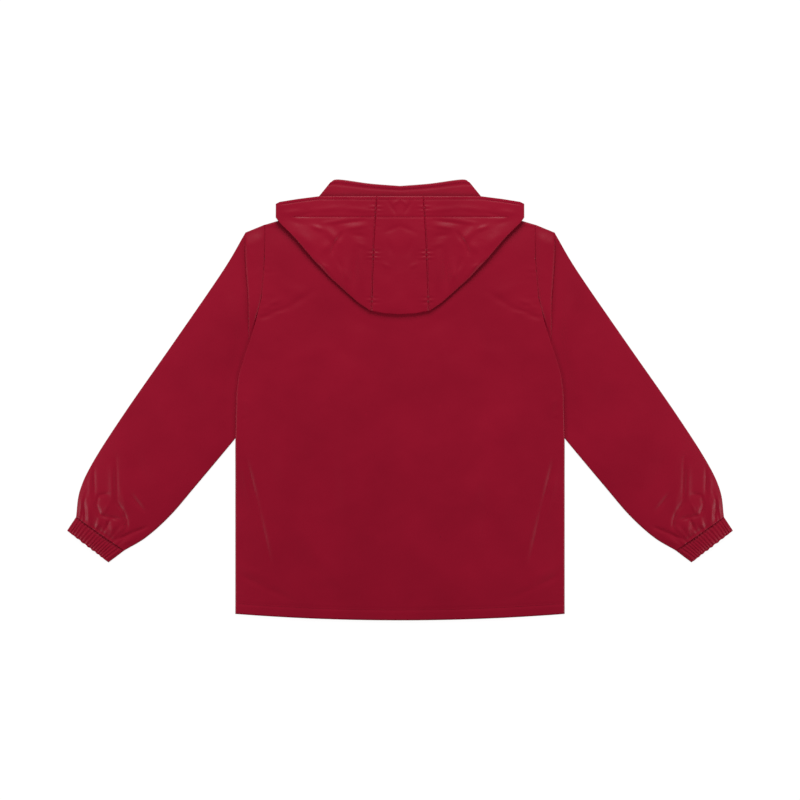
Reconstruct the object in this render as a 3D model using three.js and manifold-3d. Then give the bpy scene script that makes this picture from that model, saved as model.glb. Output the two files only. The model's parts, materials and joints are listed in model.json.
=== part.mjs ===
// A hooded windbreaker jacket, lying flat on its front with the hood folded down on its back.
// Millimetres. +X is across the chest, +Y runs from the hem to the collar, +Z is up from the
// surface. The origin is under the middle of the whole outline, on the surface.
// Every piece of cloth is a wall of its own, one layer thick, held clear of its neighbours.

import * as THREE from 'three'
import { mergeVertices } from 'three/addons/utils/BufferGeometryUtils.js'
import Module from 'manifold-3d'

// ---------- Driving sizes ----------

const CLOTH = 1.2            // one layer of coated cloth
const GAP = 0.3              // clearance at a seam, and between layers that lie on each other
const LOFT = 3.6             // most that air lifts the back panel off the front panels
const SLEEVE_LOFT = 3.4      // most that air lifts the top of a sleeve off its underside
const HOOD_LOFT = 3.4        // most that air parts the two layers of the folded hood

const HEM_Y = -376           // hem at the centre back
const HEM_RISE = 11          // the hem curves up by this much at the side seams
const CHEST_HALF = 281       // half the flat chest
const SHOULDER_Y = 299       // where the shoulder seam meets the armhole
const ARMHOLE_TOP_X = 231
const NECK_X = 160           // where the neck seam meets the shoulder seam
const NECK_Y = 320
const BACK_NECK_Y = 312      // neck seam at the centre back
const FRONT_NECK_Y = 245     // neck seam at the centre front
const ZIP_HALF = 6           // half the width of the closed zip
const ZIP_TOP_Y = 296        // the zip's teeth end here, under the slider's throat

const LAYER_2 = CLOTH + GAP  // underside of a layer that lies on one other
const CRIMSON = 0x8a1328

// ---------- Small helpers ----------

const mix = (a, b, t) => a + (b - a) * t
const smooth = (from, to, value) => THREE.MathUtils.smoothstep(value, from, to)
// Falls from 1 at `from` to 0 at `to`, as value rises between them.
const fade = (from, to, value) => 1 - smooth(from, to, value)

// Reads a table with named columns: the value of `column` where `key` has the given value.
function readTable(table, key, column, value) {
  const rising = table[table.length - 1][key] > table[0][key]
  let i = 1
  while (i < table.length - 1 && (rising ? value > table[i][key] : value < table[i][key])) i += 1
  const a = table[i - 1]
  const b = table[i]
  const t = THREE.MathUtils.clamp((value - a[key]) / (b[key] - a[key]), 0, 1)
  return mix(a[column], b[column], t)
}

// A smooth curve in plan through a table's x and y columns.
const planCurve = (table) => new THREE.SplineCurve(table.map((row) => new THREE.Vector2(row.x, row.y)))

// A point along a plan curve, t from 0 to 1 by length.
const alongCurve = (curve, t) => curve.getPointAt(THREE.MathUtils.clamp(t, 0, 1))

// A closed mesh from two matching grids of points, the outer and the inner face of one wall.
// grid[row][column] holds {outer, inner}. A wrapped grid joins its last column to its first.
function wallGeometry(grid, wrapped = false) {
  const rows = grid.length
  const columns = grid[0].length
  const positions = []
  for (const side of ['outer', 'inner']) {
    for (const row of grid) {
      for (const point of row) positions.push(...point[side])
    }
  }
  const at = (side, row, column) => side * rows * columns + row * columns + (column % columns)
  const triangles = []
  const quad = (a, b, c, d) => triangles.push([a, b, c], [a, c, d])
  const lastColumn = wrapped ? columns : columns - 1
  for (let row = 0; row < rows - 1; row += 1) {
    for (let column = 0; column < lastColumn; column += 1) {
      quad(
        at(0, row, column),
        at(0, row, column + 1),
        at(0, row + 1, column + 1),
        at(0, row + 1, column),
      )
      quad(
        at(1, row, column),
        at(1, row + 1, column),
        at(1, row + 1, column + 1),
        at(1, row, column + 1),
      )
    }
  }
  for (let column = 0; column < lastColumn; column += 1) {
    quad(at(1, 0, column), at(1, 0, column + 1), at(0, 0, column + 1), at(0, 0, column))
    quad(
      at(0, rows - 1, column),
      at(0, rows - 1, column + 1),
      at(1, rows - 1, column + 1),
      at(1, rows - 1, column),
    )
  }
  for (let row = 0; row < rows - 1 && !wrapped; row += 1) {
    quad(at(0, row, 0), at(0, row + 1, 0), at(1, row + 1, 0), at(1, row, 0))
    quad(
      at(1, row, columns - 1),
      at(1, row + 1, columns - 1),
      at(0, row + 1, columns - 1),
      at(0, row, columns - 1),
    )
  }
  return closedGeometry(positions, triangles)
}

// Merges equal points, drops triangles that have closed up, and turns the faces outwards.
function closedGeometry(positions, triangles) {
  const known = new Map()
  const points = []
  const merged = []
  for (let i = 0; i < positions.length; i += 3) {
    const point = positions.slice(i, i + 3)
    const key = point.map((value) => Math.round(value * 1000)).join(' ')
    if (!known.has(key)) {
      known.set(key, points.length)
      points.push(point)
    }
    merged.push(known.get(key))
  }
  const kept = triangles
    .map((triangle) => triangle.map((index) => merged[index]))
    .filter(([a, b, c]) => a !== b && b !== c && c !== a)
  let volume = 0
  for (const [a, b, c] of kept) {
    const [p, q, r] = [a, b, c].map((index) => new THREE.Vector3(...points[index]))
    volume += p.dot(q.cross(r)) / 6
  }
  if (volume < 0) kept.forEach((triangle) => triangle.reverse())
  const geometry = new THREE.BufferGeometry()
  geometry.setAttribute('position', new THREE.Float32BufferAttribute(points.flat(), 3))
  geometry.setIndex(kept.flat())
  geometry.computeVertexNormals()
  return geometry
}

// One point of a wall that lies level: its underside at z and its top one cloth higher.
const levelPoint = (x, y, z) => ({ outer: [x, y, z + CLOTH], inner: [x, y, z] })

// The three points of a wall that turns over at a folded edge. `out` points away from the
// piece, low is the underside of the lower layer and high is the top of the upper layer.
function foldPoints(edge, out, low, high) {
  const middle = (low + high) / 2
  const place = (inset, z) => [edge.x - out.x * inset, edge.y - out.y * inset, z]
  return [
    { outer: place(CLOTH / 2, low), inner: place(CLOTH * 1.5, low + CLOTH) },
    { outer: place(0, middle), inner: place(CLOTH, middle) },
    { outer: place(CLOTH / 2, high), inner: place(CLOTH * 1.5, high - CLOTH) },
  ]
}

// Spaces `count + 1` values from 0 to 1, closer together towards both ends.
function bunched(count) {
  const eased = (t) => (1 - Math.cos(Math.PI * t)) / 2
  return even(count).map(eased)
}

const even = (count) => Array.from({ length: count + 1 }, (_, i) => i / count)

// Mirrors a wall grid across the centre plane.
function mirrored(grid) {
  const flip = ([x, y, z]) => [-x, y, z]
  return grid.map((row) => row.map(({ outer, inner }) => ({ outer: flip(outer), inner: flip(inner) })))
}

const jacket = new THREE.Group()

function addPiece(name, geometry, color = CRIMSON, roughness = 0.55, metalness = 0) {
  const mesh = new THREE.Mesh(geometry, new THREE.MeshStandardMaterial({ color, roughness, metalness }))
  mesh.name = name
  jacket.add(mesh)
  return mesh
}

// Both pieces of a pair. Lying on its front, the wearer's left side is towards -X.
function addPair(name, grid, wrapped = false) {
  addPiece(`${name}_right`, wallGeometry(grid, wrapped))
  addPiece(`${name}_left`, wallGeometry(mirrored(grid), wrapped))
}

// ---------- The body's outline and heights ----------

// Down the side: half the back panel's width, and half the front panels'. Below the armhole the
// back laps over the top of the sleeve, which is why the two differ between y 125 and -80.
const SIDE = [
  { y: 299, back: 231, front: 231 },
  { y: 242, back: 231, front: 231 },
  { y: 205, back: 234, front: 234 },
  { y: 174, back: 236.5, front: 236.5 },
  { y: 154, back: 240, front: 240 },
  { y: 137, back: 245, front: 244 },
  { y: 122, back: 250, front: 247.5 },
  { y: 100, back: 257, front: 249.5 },
  { y: 74, back: 266, front: 250 },
  { y: 44, back: 275, front: 250 },
  { y: 12, back: 279, front: 250 },
  { y: -26, back: 280, front: 249 },
  { y: -78, back: CHEST_HALF, front: CHEST_HALF },
  { y: -365, back: CHEST_HALF, front: CHEST_HALF },
]

const hemY = (x) => HEM_Y + HEM_RISE * (x / CHEST_HALF) ** 2

// The shoulder seam, a straight line from the neck to the armhole.
const shoulderY = (x) => THREE.MathUtils.mapLinear(
  THREE.MathUtils.clamp(Math.abs(x), NECK_X, ARMHOLE_TOP_X), NECK_X, ARMHOLE_TOP_X, NECK_Y, SHOULDER_Y)

// The neck seams, from the shoulder down to the centre, as part ellipses.
const neckSeam = (x, centreY) => mix(centreY, NECK_Y, 1 - Math.sqrt(Math.max(0, 1 - (x / NECK_X) ** 2)))
const topY = (x, centreY) => (Math.abs(x) < NECK_X ? neckSeam(x, centreY) : shoulderY(x))

// The cloth above the slider and its pull tab is pushed up by them, as they lie underneath.
const HUMP = 2.8
function hump(x, y) {
  const along = smooth(205, 256, y) * fade(330, 352, y)
  return HUMP * along * fade(12, 62, Math.abs(x))
}

// How far the back panel's edge is held up by what lies under it, down the side.
const EDGE_LIFT = [
  { y: 299, lift: 0.2 },
  { y: 250, lift: 1.6 },
  { y: 180, lift: 2.4 },
  { y: 100, lift: 2.4 },
  { y: -62, lift: 2.2 },
  { y: -125, lift: 0 },
  { y: -365, lift: 0 },
]

// Underside of the back panel: pinned at its edges, lifted by air between them.
function backUnder(x, y) {
  const halfWidth = readTable(SIDE, 'y', 'back', y)
  const across = 1 - Math.min(1, Math.abs(x) / halfWidth) ** 6
  const fromHem = 1 - Math.exp(-(y - hemY(x)) / 55)
  const belowShoulder = smooth(0, 62, topY(x, BACK_NECK_Y) - y)
  const nearTop = mix(1, belowShoulder, smooth(95, NECK_X, Math.abs(x)))
  const puff = across * fromHem * nearTop
  const overSlider = 0.55 * fade(30, 90, Math.abs(x)) * smooth(180, 250, y)
  return LAYER_2 + mix(readTable(EDGE_LIFT, 'y', 'lift', y) * nearTopEdge(x, y), LOFT, puff) + overSlider
}

// The lift at the side edge dies out where the shoulder seam joins back to front.
function nearTopEdge(x, y) {
  return smooth(0, 40, shoulderY(x) + 4 - y)
}

// ---------- Back and front panels ----------

// Rows across the body, by the height at which they meet the side. There is one at each height
// in the table of the side, and a few between where the side is straight.
const STRAIGHT_ROWS = [270, -52, -120, -165, -215, -265, -315, -347]
const BODY_ROWS = [...SIDE.map((row) => row.y), ...STRAIGHT_ROWS].sort((a, b) => a - b)

// Columns, as parts of the way from the middle to the shoulder's end: the neck's own, so that
// the collar meets them point for point, and two on the shoulder.
const NECK_COLUMNS = bunched(7)
const shoulderPart = (x, first) => (x - first) / (ARMHOLE_TOP_X - first)
const bodyColumns = (first) => [
  ...NECK_COLUMNS.map((w) => shoulderPart(mix(first, NECK_X, w), first)),
  shoulderPart(mix(NECK_X, ARMHOLE_TOP_X, 0.5), first),
  1,
]

// A point of the body's plan: u from `first` to the side, on the row that meets the side at y.
function bodyPlan(u, sideY, side, first, centreY) {
  const x = mix(first, readTable(SIDE, 'y', side, sideY) - GAP / 2, u)
  const top = topY(mix(first, ARMHOLE_TOP_X, u), centreY) - 1.5 * GAP
  const v = (sideY - HEM_Y - HEM_RISE) / (SHOULDER_Y - HEM_Y - HEM_RISE)
  return [x, mix(hemY(x), top, v)]
}

function backPanel() {
  return BODY_ROWS.map((sideY) => {
    const half = bodyColumns(0).map((u) => {
      const [x, y] = bodyPlan(u, sideY, 'back', 0, BACK_NECK_Y)
      return levelPoint(x, y, backUnder(x, y))
    })
    return [...mirrored([half.slice(1)])[0].reverse(), ...half]
  })
}

function frontPanel() {
  const first = ZIP_HALF + GAP
  return BODY_ROWS.map((sideY) => bodyColumns(first).map((u) => {
    const [x, y] = bodyPlan(u, sideY, 'front', first, FRONT_NECK_Y)
    return levelPoint(x, y, hump(x, y))
  }))
}

addPiece('back', wallGeometry(backPanel()))
addPair('front', frontPanel())

// ---------- Sleeves ----------

// Armhole end of the sleeve, from the shoulder down to the underarm.
const ARMHOLE = planCurve([
  { x: 231.3, y: 299 },
  { x: 231.5, y: 242 },
  { x: 237, y: 174 },
  { x: 246.6, y: 136 },
  { x: 250.6, y: 105 },
  { x: 250.6, y: 40 },
  { x: 250.6, y: -24 },
])

// The cap rises in a ridge beside the armhole and drops along this line.
const CAP_FOLD = planCurve([
  { x: 264, y: 285.5 },
  { x: 264, y: 240 },
  { x: 259.5, y: 174 },
  { x: 258.5, y: 125 },
  { x: 257, y: 95 },
  { x: 255, y: 35 },
  { x: 252.5, y: -26.5 },
])

// The sleeve's outer and inner folded edges, from the cap to the cuff.
const OUTER_EDGE = planCurve([
  { x: 264.5, y: 284 },
  { x: 302, y: 220.5 },
  { x: 384, y: 101 },
  { x: 467, y: -18 },
  { x: 522, y: -103 },
  { x: 546, y: -154 },
  { x: 552.8, y: -200 },
])
const INNER_EDGE = planCurve([
  { x: 252.5, y: -28 },
  { x: 283.2, y: -68 },
  { x: 350, y: -148 },
  { x: 392, y: -197 },
  { x: 433, y: -234 },
  { x: 470.8, y: -256.8 },
])

const CAP_ROWS = [0, 0.3, 0.65, 1]     // rows between the armhole and the cap's fold
const ARM_ROWS = [0.012, 0.035, 0.09, 0.18, 0.3, 0.44, 0.58, 0.72, 0.84, 0.93, 1]
const SLEEVE_COLUMNS = 7

// How high the seam between the body and the sleeve's top lies above the surface. Below y 125
// the sleeve ducks under the body's edge.
const SEAM_LIFT = [
  { y: 299, lift: 0 },
  { y: 250, lift: 1.5 },
  { y: 190, lift: 2.2 },
  { y: 150, lift: 1.6 },
  { y: 128, lift: 0 },
  { y: -30, lift: 0 },
]

// Plan point of the sleeve, u from the outer to the inner edge, v from the cap's fold to the
// cuff: the surface that the four curves span.
function armPlan(u, v) {
  const top = alongCurve(CAP_FOLD, u)
  const cuff = alongCurve(OUTER_EDGE, 1).lerp(alongCurve(INNER_EDGE, 1), u)
  const outer = alongCurve(OUTER_EDGE, v)
  const inner = alongCurve(INNER_EDGE, v)
  const sides = outer.clone().lerp(inner, u)
  const ends = top.clone().lerp(cuff, v)
  const topCorner = alongCurve(CAP_FOLD, 0).lerp(alongCurve(CAP_FOLD, 1), u)
  const cuffCorner = alongCurve(OUTER_EDGE, 1).lerp(alongCurve(INNER_EDGE, 1), u)
  return sides.add(ends).sub(topCorner.lerp(cuffCorner, v))
}

const capPlan = (u, v) => alongCurve(ARMHOLE, u).lerp(alongCurve(CAP_FOLD, u), v)

// Air under the sleeve's top, across it from edge to edge.
const sleevePuff = (u) => (4 * u * (1 - u)) ** 0.6

// How far the sleeve's top is lifted on the cap (v from armhole to fold), and on the arm.
function capLift(u, v) {
  const seam = readTable(SEAM_LIFT, 'y', 'lift', capPlan(u, 0).y)
  const ridge = fade(0.42, 0.6, u) * smooth(0, 0.08, u)
  return mix(seam, LOFT * ridge, Math.sin(v * Math.PI * 0.5)) + 0.35 * ridge * Math.sin(v * Math.PI)
}
function armLift(u, v) {
  const valley = fade(0.02, 0.14, v) * fade(0.62, 0.8, u)
  const { x, y } = armPlan(u, v)
  const besideBody = smooth(0, 34, x - readTable(SIDE, 'y', 'back', y))
  return SLEEVE_LOFT * sleevePuff(u) * smooth(0, 0.05, v) * (1 - 0.75 * valley) * besideBody
}

// One section of a flattened tube: along its underside, over one folded edge, back along its
// top and over the other edge. plan(u) runs from edge to edge, lift(u) raises the top.
function tubeSection(plan, lift, columns) {
  const start = plan(0)
  const end = plan(1)
  const out = end.clone().sub(start).normalize()
  const low = (u) => ({ outer: [plan(u).x, plan(u).y, 0], inner: [plan(u).x, plan(u).y, CLOTH] })
  const high = (u) => {
    const under = LAYER_2 + lift(u)
    return { outer: [plan(u).x, plan(u).y, under + CLOTH], inner: [plan(u).x, plan(u).y, under] }
  }
  const between = columns.slice(1, -1)
  const thickness = LAYER_2 + CLOTH
  return [
    ...foldPoints(start, out.clone().negate(), 0, thickness + lift(0)).reverse(),
    ...between.map(low),
    ...foldPoints(end, out, 0, thickness + lift(1)),
    ...between.slice().reverse().map(high),
  ]
}

function sleeve() {
  const columns = bunched(SLEEVE_COLUMNS + 2)
  const cap = CAP_ROWS.map((v) => tubeSection((u) => capPlan(u, v), (u) => capLift(u, v), columns))
  const arm = ARM_ROWS.map((v) => tubeSection((u) => armPlan(u, v), (u) => armLift(u, v), columns))
  return [...cap, ...arm]
}

addPair('sleeve', sleeve(), true)

// ---------- Cuffs ----------

// The four corners of a cuff in plan. Its end is shorter than the sleeve it is sewn to.
const CUFF_START = [new THREE.Vector2(553.4, -200.6), new THREE.Vector2(471.6, -257.6)]
const CUFF_END = [new THREE.Vector2(568, -223), new THREE.Vector2(497.5, -277)]
const GATHERS = 10                  // soft pleats that the elastic draws across each face
const GATHER_HEIGHT = 0.9
const CUFF_ROWS = [0, 0.5, 1]

function cuff() {
  const columns = even(GATHERS * 2)
  const plan = (u, v) => {
    const start = CUFF_START[0].clone().lerp(CUFF_START[1], u)
    const end = CUFF_END[0].clone().lerp(CUFF_END[1], u)
    return start.lerp(end, v)
  }
  const gather = (u) => GATHER_HEIGHT * (1 - Math.cos(u * GATHERS * 2 * Math.PI)) / 2
  return CUFF_ROWS.map((v) => tubeSection((u) => plan(u, v), (u) => gather(u) + sleevePuff(u) * 1.2, columns))
}

addPair('cuff', cuff(), true)

// ---------- Collar ----------

// The collar's flattened top edge, from the centre to the side fold, back and front.
const COLLAR_FOLD_TOP = new THREE.Vector2(118.7, 371.4)
const COLLAR_BACK_TOP = planCurve([
  { x: 0, y: 365 },
  { x: 50, y: 369 },
  { x: 105, y: 376.3 },
  { x: COLLAR_FOLD_TOP.x, y: COLLAR_FOLD_TOP.y },
])
const COLLAR_FRONT_TOP = planCurve([
  { x: ZIP_HALF + GAP, y: 309 },
  { x: 60, y: 324 },
  { x: COLLAR_FOLD_TOP.x, y: COLLAR_FOLD_TOP.y },
])
const COLLAR_ROWS = [0, 0.25, 0.5, 0.75, 1]
const COLLAR_COLUMNS = NECK_COLUMNS.slice(0, -1)

// The collar's point at w from the centre to the side fold and v from the neck seam upwards.
function collarPlan(w, v, top, centreY, firstX) {
  const x = mix(firstX, NECK_X, w)
  const seam = new THREE.Vector2(x, neckSeam(x, centreY) + GAP)
  return seam.lerp(alongCurve(top, w), v)
}

function collar() {
  return COLLAR_ROWS.map((v) => {
    const front = COLLAR_COLUMNS.map((w) => {
      const { x, y } = collarPlan(w, v, COLLAR_FRONT_TOP, FRONT_NECK_Y, ZIP_HALF + GAP)
      const z = hump(x, y)
      return { outer: [x, y, z], inner: [x, y, z + CLOTH] }
    })
    const back = COLLAR_COLUMNS.map((w) => {
      const { x, y } = collarPlan(w, v, COLLAR_BACK_TOP, BACK_NECK_Y, 0)
      const z = mix(backUnder(x, Math.min(y, BACK_NECK_Y)), LAYER_2 + 2.2 * (1 - w), v * 0.8)
      return levelPoint(x, y, z)
    })
    const foldAt = collarPlan(1, v, COLLAR_BACK_TOP, BACK_NECK_Y, 0)
    const fold = foldPoints(foldAt, new THREE.Vector2(0.8, 0.6), 0, LAYER_2 + CLOTH)
    const right = [...front, ...fold, ...back.reverse()]
    const left = mirrored([right.slice(0, -1)])[0].reverse()
    return [...right, ...left]
  })
}

addPiece('collar', wallGeometry(collar()))

// ---------- Hood ----------

// Folded down on the back: its outer layer runs from the face edge to the lower edge, and its
// under layer runs back from there to the neck seam.
const HOOD_CORNER_X = 211.5
const HOOD_FACE_EDGE = [
  { x: 0, y: 347 },
  { x: 141, y: 347 },
  { x: 175, y: 342.5 },
  { x: 205, y: 337.5 },
  { x: HOOD_CORNER_X, y: 334 },
]
const HOOD_LOWER_EDGE = [
  { x: 0, y: 145.5 },
  { x: 24, y: 147 },
  { x: 47, y: 152 },
  { x: 68, y: 166 },
  { x: 87, y: 182 },
  { x: 117, y: 208 },
  { x: 148, y: 240 },
  { x: 178, y: 275 },
  { x: 206, y: 303 },
  { x: HOOD_CORNER_X, y: 311 },
]
const HOOD_NECK_EDGE = [
  { x: 0, y: 313 },
  { x: NECK_X, y: 321 },
  { x: HOOD_CORNER_X, y: 334 },
]
// Half the centre strip's width, on average and then down the hood.
const STRIP_MEAN_HALF = 44
const HOOD_STRIP = [
  { y: 347, half: 39.3 },
  { y: 272, half: 44 },
  { y: 164, half: 48 },
  { y: 145, half: 48 },
]
const HOOD_ROWS = [0, 0.06, 0.17, 0.35, 0.55, 0.75, 0.9]   // down each layer, before the fold
const HOOD_COLUMNS = [0, 0.08, 0.22, 0.38, 0.54, 0.7, 0.84, 0.94, 1]
const FOLD_ROLL = 1.6           // extra height where the cloth rolls over at the lower edge
const CORNER_RISE = 4.5         // the side corners stand up off the shoulders

const hoodRise = (x) => CORNER_RISE * smooth(105, HOOD_CORNER_X, Math.abs(x))

// Underside of the hood's under layer, on the back panel and the collar below it.
const hoodUnder = (x, y) => backUnder(x, Math.min(y, BACK_NECK_Y)) + CLOTH + 2 * GAP + hoodRise(x)

function hoodGap(x, y) {
  const face = readTable(HOOD_FACE_EDGE, 'x', 'y', Math.abs(x))
  const lower = readTable(HOOD_LOWER_EDGE, 'x', 'y', Math.abs(x))
  const t = THREE.MathUtils.clamp((y - lower) / (face - lower), 0, 1)
  const cheek = fade(120, HOOD_CORNER_X - 4, Math.abs(x))
  return GAP + FOLD_ROLL * cheek + (HOOD_LOFT - FOLD_ROLL) * Math.sin(Math.PI * Math.sqrt(t)) * cheek
}

// One column of the hood, from the face edge down, round the fold and up to the neck seam.
function hoodColumn(x, turn) {
  const face = readTable(HOOD_FACE_EDGE, 'x', 'y', Math.abs(x))
  const lower = readTable(HOOD_LOWER_EDGE, 'x', 'y', Math.abs(x))
  const neck = readTable(HOOD_NECK_EDGE, 'x', 'y', Math.abs(x))
  const upper = HOOD_ROWS.map((v) => {
    const y = mix(face, lower, v)
    const z = hoodUnder(x, y) + CLOTH + hoodGap(x, y)
    return turn(levelPoint(x, y, z), y)
  })
  const under = HOOD_ROWS.map((v) => {
    const y = mix(neck, lower, v)
    const z = hoodUnder(x, y)
    return turn({ outer: [x, y, z], inner: [x, y, z + CLOTH] }, y)
  })
  const low = hoodUnder(x, lower)
  const edge = new THREE.Vector2(x, lower)
  const high = low + 2 * CLOTH + hoodGap(x, lower)
  const fold = foldPoints(edge, new THREE.Vector2(0, -1), low, high).map((point) => turn(point, lower))
  return [...upper, ...fold.reverse(), ...under.reverse()]
}

// Columns become the grid's rows, so that its first row is the seam with the centre strip.
function hoodSide() {
  const last = HOOD_CORNER_X
  const columns = HOOD_COLUMNS.map((u) => {
    const atSeam = (y) => readTable(HOOD_STRIP, 'y', 'half', y) + GAP
    const x = mix(STRIP_MEAN_HALF, last, u)
    const shift = (point, y) => [mix(atSeam(y), last, u), point[1], point[2]]
    return hoodColumn(x, ({ outer, inner }, y) => ({ outer: shift(outer, y), inner: shift(inner, y) }))
  })
  return closeCorner(columns)
}

// The outer end is folded cloth too: its last column closes the pocket, so both layers meet
// there on one line, and the inner faces meet one cloth further in.
function closeCorner(columns) {
  const last = columns[columns.length - 1]
  const count = last.length
  const closed = last.map((point, i) => {
    const twin = last[count - 1 - i]
    const join = (a, b, inset) => [(a[0] + b[0]) / 2 - inset, (a[1] + b[1]) / 2, (a[2] + b[2]) / 2]
    return { outer: join(point.outer, twin.outer, 0), inner: join(point.inner, twin.inner, CLOTH) }
  })
  return [...columns.slice(0, -1), closed]
}

function hoodCentre() {
  const across = even(6).map((u) => mix(-1, 1, u))
  return across.map((u) => {
    const half = (y) => u * (readTable(HOOD_STRIP, 'y', 'half', y) - GAP / 2)
    const shift = (point, y) => [half(y), point[1], point[2]]
    const shiftWall = ({ outer, inner }, y) => ({ outer: shift(outer, y), inner: shift(inner, y) })
    return hoodColumn(u * STRIP_MEAN_HALF, shiftWall)
  })
}

addPair('hood', hoodSide())
addPiece('hood_centre', wallGeometry(hoodCentre()))

// ---------- Front zip ----------

const ZIP_ROWS = 30

function zipChain() {
  return even(ZIP_ROWS).map((v) => [-1, 1].map((u) => {
    const x = u * ZIP_HALF
    const y = mix(hemY(0), ZIP_TOP_Y, v)
    return levelPoint(x, y, hump(x, y))
  }))
}

addPiece('zip_chain', wallGeometry(zipChain()), 0x5c0f1e, 0.5)

// The slider: a plate each side of the teeth, a post between them past the last tooth, and a
// bridge on the outer plate, which faces down here.
const SLIDER_WIDTH = 9
const SLIDER_LENGTH = 12
const PLATE = 0.7
const OUTER_PLATE_Z = 1.8
const INNER_PLATE_Z = HUMP + CLOTH + GAP
const SLIDER_Y = ZIP_TOP_Y - 1.4
const POST = { width: 2.4, length: 2.6 }
const BRIDGE = { width: 1.6, length: 5.2, bar: 0.5, leg: 1 }
const HINGE = { y: SLIDER_Y - 1, z: 1.15 }

function roundedPlate(width, length, radius) {
  const plate = new THREE.Shape()
  const [x, y] = [width / 2, length / 2]
  plate.moveTo(-x + radius, -y)
  plate.lineTo(x - radius, -y)
  plate.absarc(x - radius, -y + radius, radius, -Math.PI / 2, 0)
  plate.absarc(x - radius, y - radius, radius, 0, Math.PI / 2)
  plate.absarc(-x + radius, y - radius, radius, Math.PI / 2, Math.PI)
  plate.absarc(-x + radius, -y + radius, radius, Math.PI, Math.PI * 1.5)
  return plate
}

const wasm = await Module()
wasm.setup()

function toSolid(geometry) {
  geometry.deleteAttribute('normal')
  geometry.deleteAttribute('uv')
  const merged = mergeVertices(geometry, 1e-4)
  return new wasm.Manifold(new wasm.Mesh({
    numProp: 3,
    vertProperties: new Float32Array(merged.attributes.position.array),
    triVerts: new Uint32Array(merged.index.array),
  }))
}

function fromSolid(solid) {
  const mesh = solid.getMesh()
  const geometry = new THREE.BufferGeometry()
  geometry.setAttribute('position', new THREE.BufferAttribute(new Float32Array(mesh.vertProperties), 3))
  geometry.setIndex(new THREE.BufferAttribute(new Uint32Array(mesh.triVerts), 1))
  geometry.computeVertexNormals()
  return geometry
}

function box(width, length, height, y, z) {
  return new THREE.BoxGeometry(width, length, height).translate(0, y, z + height / 2)
}

function zipSlider() {
  const plate = (z) => {
    const shape = roundedPlate(SLIDER_WIDTH, SLIDER_LENGTH, 2)
    return new THREE.ExtrudeGeometry(shape, { depth: PLATE, bevelEnabled: false, curveSegments: 3 })
      .translate(0, SLIDER_Y, z)
  }
  const postHeight = INNER_PLATE_Z + PLATE - OUTER_PLATE_Z
  const postY = ZIP_TOP_Y + GAP + POST.length / 2
  const pieces = [
    plate(OUTER_PLATE_Z),
    plate(INNER_PLATE_Z),
    box(POST.width, POST.length, postHeight, postY, OUTER_PLATE_Z),
    box(BRIDGE.width, BRIDGE.length, BRIDGE.bar, HINGE.y, 0),
  ]
  for (const end of [-1, 1]) {
    const legY = HINGE.y + end * (BRIDGE.length - BRIDGE.leg) / 2
    pieces.push(box(BRIDGE.width, BRIDGE.leg, OUTER_PLATE_Z + PLATE / 2, legY, 0))
  }
  return fromSolid(pieces.map(toSolid).reduce((whole, piece) => whole.add(piece)))
}

// The pull tab: a flat plate with a window, whose end bar lies inside the slider's bridge.
const TAB = { length: 28, width: 6.6, thickness: 0.8, bar: 0.8, window: 3.4, windowHalf: 1.5 }

function zipPull() {
  const half = TAB.width / 2
  const tab = new THREE.Shape()
  tab.moveTo(-half, TAB.bar / 2)
  tab.lineTo(-half, -TAB.length + half)
  tab.absarc(0, -TAB.length + half, half, Math.PI, Math.PI * 2)
  tab.lineTo(half, TAB.bar / 2)
  const window = new THREE.Path()
  window.moveTo(-TAB.windowHalf, -TAB.bar / 2)
  window.lineTo(TAB.windowHalf, -TAB.bar / 2)
  window.lineTo(TAB.windowHalf, -TAB.bar / 2 - TAB.window)
  window.lineTo(-TAB.windowHalf, -TAB.bar / 2 - TAB.window)
  tab.holes.push(window)
  return new THREE.ExtrudeGeometry(tab, { depth: TAB.thickness, bevelEnabled: false, curveSegments: 6 })
    .translate(0, 0, -TAB.thickness / 2)
}

addPiece('zip_slider', zipSlider(), 0x9a9ca0, 0.35, 0.9)
const pull = addPiece('zip_pull', zipPull(), 0x9a9ca0, 0.35, 0.9)
pull.position.set(0, HINGE.y, HINGE.z)

export default jacket
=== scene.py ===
# %% [markdown]
# # A hooded windbreaker jacket, laid flat
# The jacket lies on its front with its back up and its hood folded down. The frame that is
# loaded here holds every piece as a plain, thick wall. Each piece is made again below as what
# it is, thin coated nylon with folds, seams and stitching, exactly where its wall lies.

# %% Load the frame
import json
import math
import bpy
import bmesh
import numpy as np
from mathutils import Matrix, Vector, noise

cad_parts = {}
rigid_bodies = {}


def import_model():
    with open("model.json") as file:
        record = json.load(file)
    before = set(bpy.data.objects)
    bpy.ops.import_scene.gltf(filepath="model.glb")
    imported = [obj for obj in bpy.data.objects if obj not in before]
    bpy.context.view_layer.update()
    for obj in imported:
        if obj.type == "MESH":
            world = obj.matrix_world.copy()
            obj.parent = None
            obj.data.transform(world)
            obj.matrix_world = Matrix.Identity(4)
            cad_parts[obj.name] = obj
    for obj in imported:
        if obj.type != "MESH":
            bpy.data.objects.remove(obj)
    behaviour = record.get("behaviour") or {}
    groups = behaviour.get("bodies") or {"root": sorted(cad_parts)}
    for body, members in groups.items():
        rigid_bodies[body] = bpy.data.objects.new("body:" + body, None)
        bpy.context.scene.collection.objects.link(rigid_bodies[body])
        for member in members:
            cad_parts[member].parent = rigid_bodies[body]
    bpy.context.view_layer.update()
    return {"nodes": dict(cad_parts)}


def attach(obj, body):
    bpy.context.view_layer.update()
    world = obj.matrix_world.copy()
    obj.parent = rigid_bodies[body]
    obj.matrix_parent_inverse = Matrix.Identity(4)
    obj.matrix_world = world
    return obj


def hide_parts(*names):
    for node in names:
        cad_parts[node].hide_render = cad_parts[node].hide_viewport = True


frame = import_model()
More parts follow.
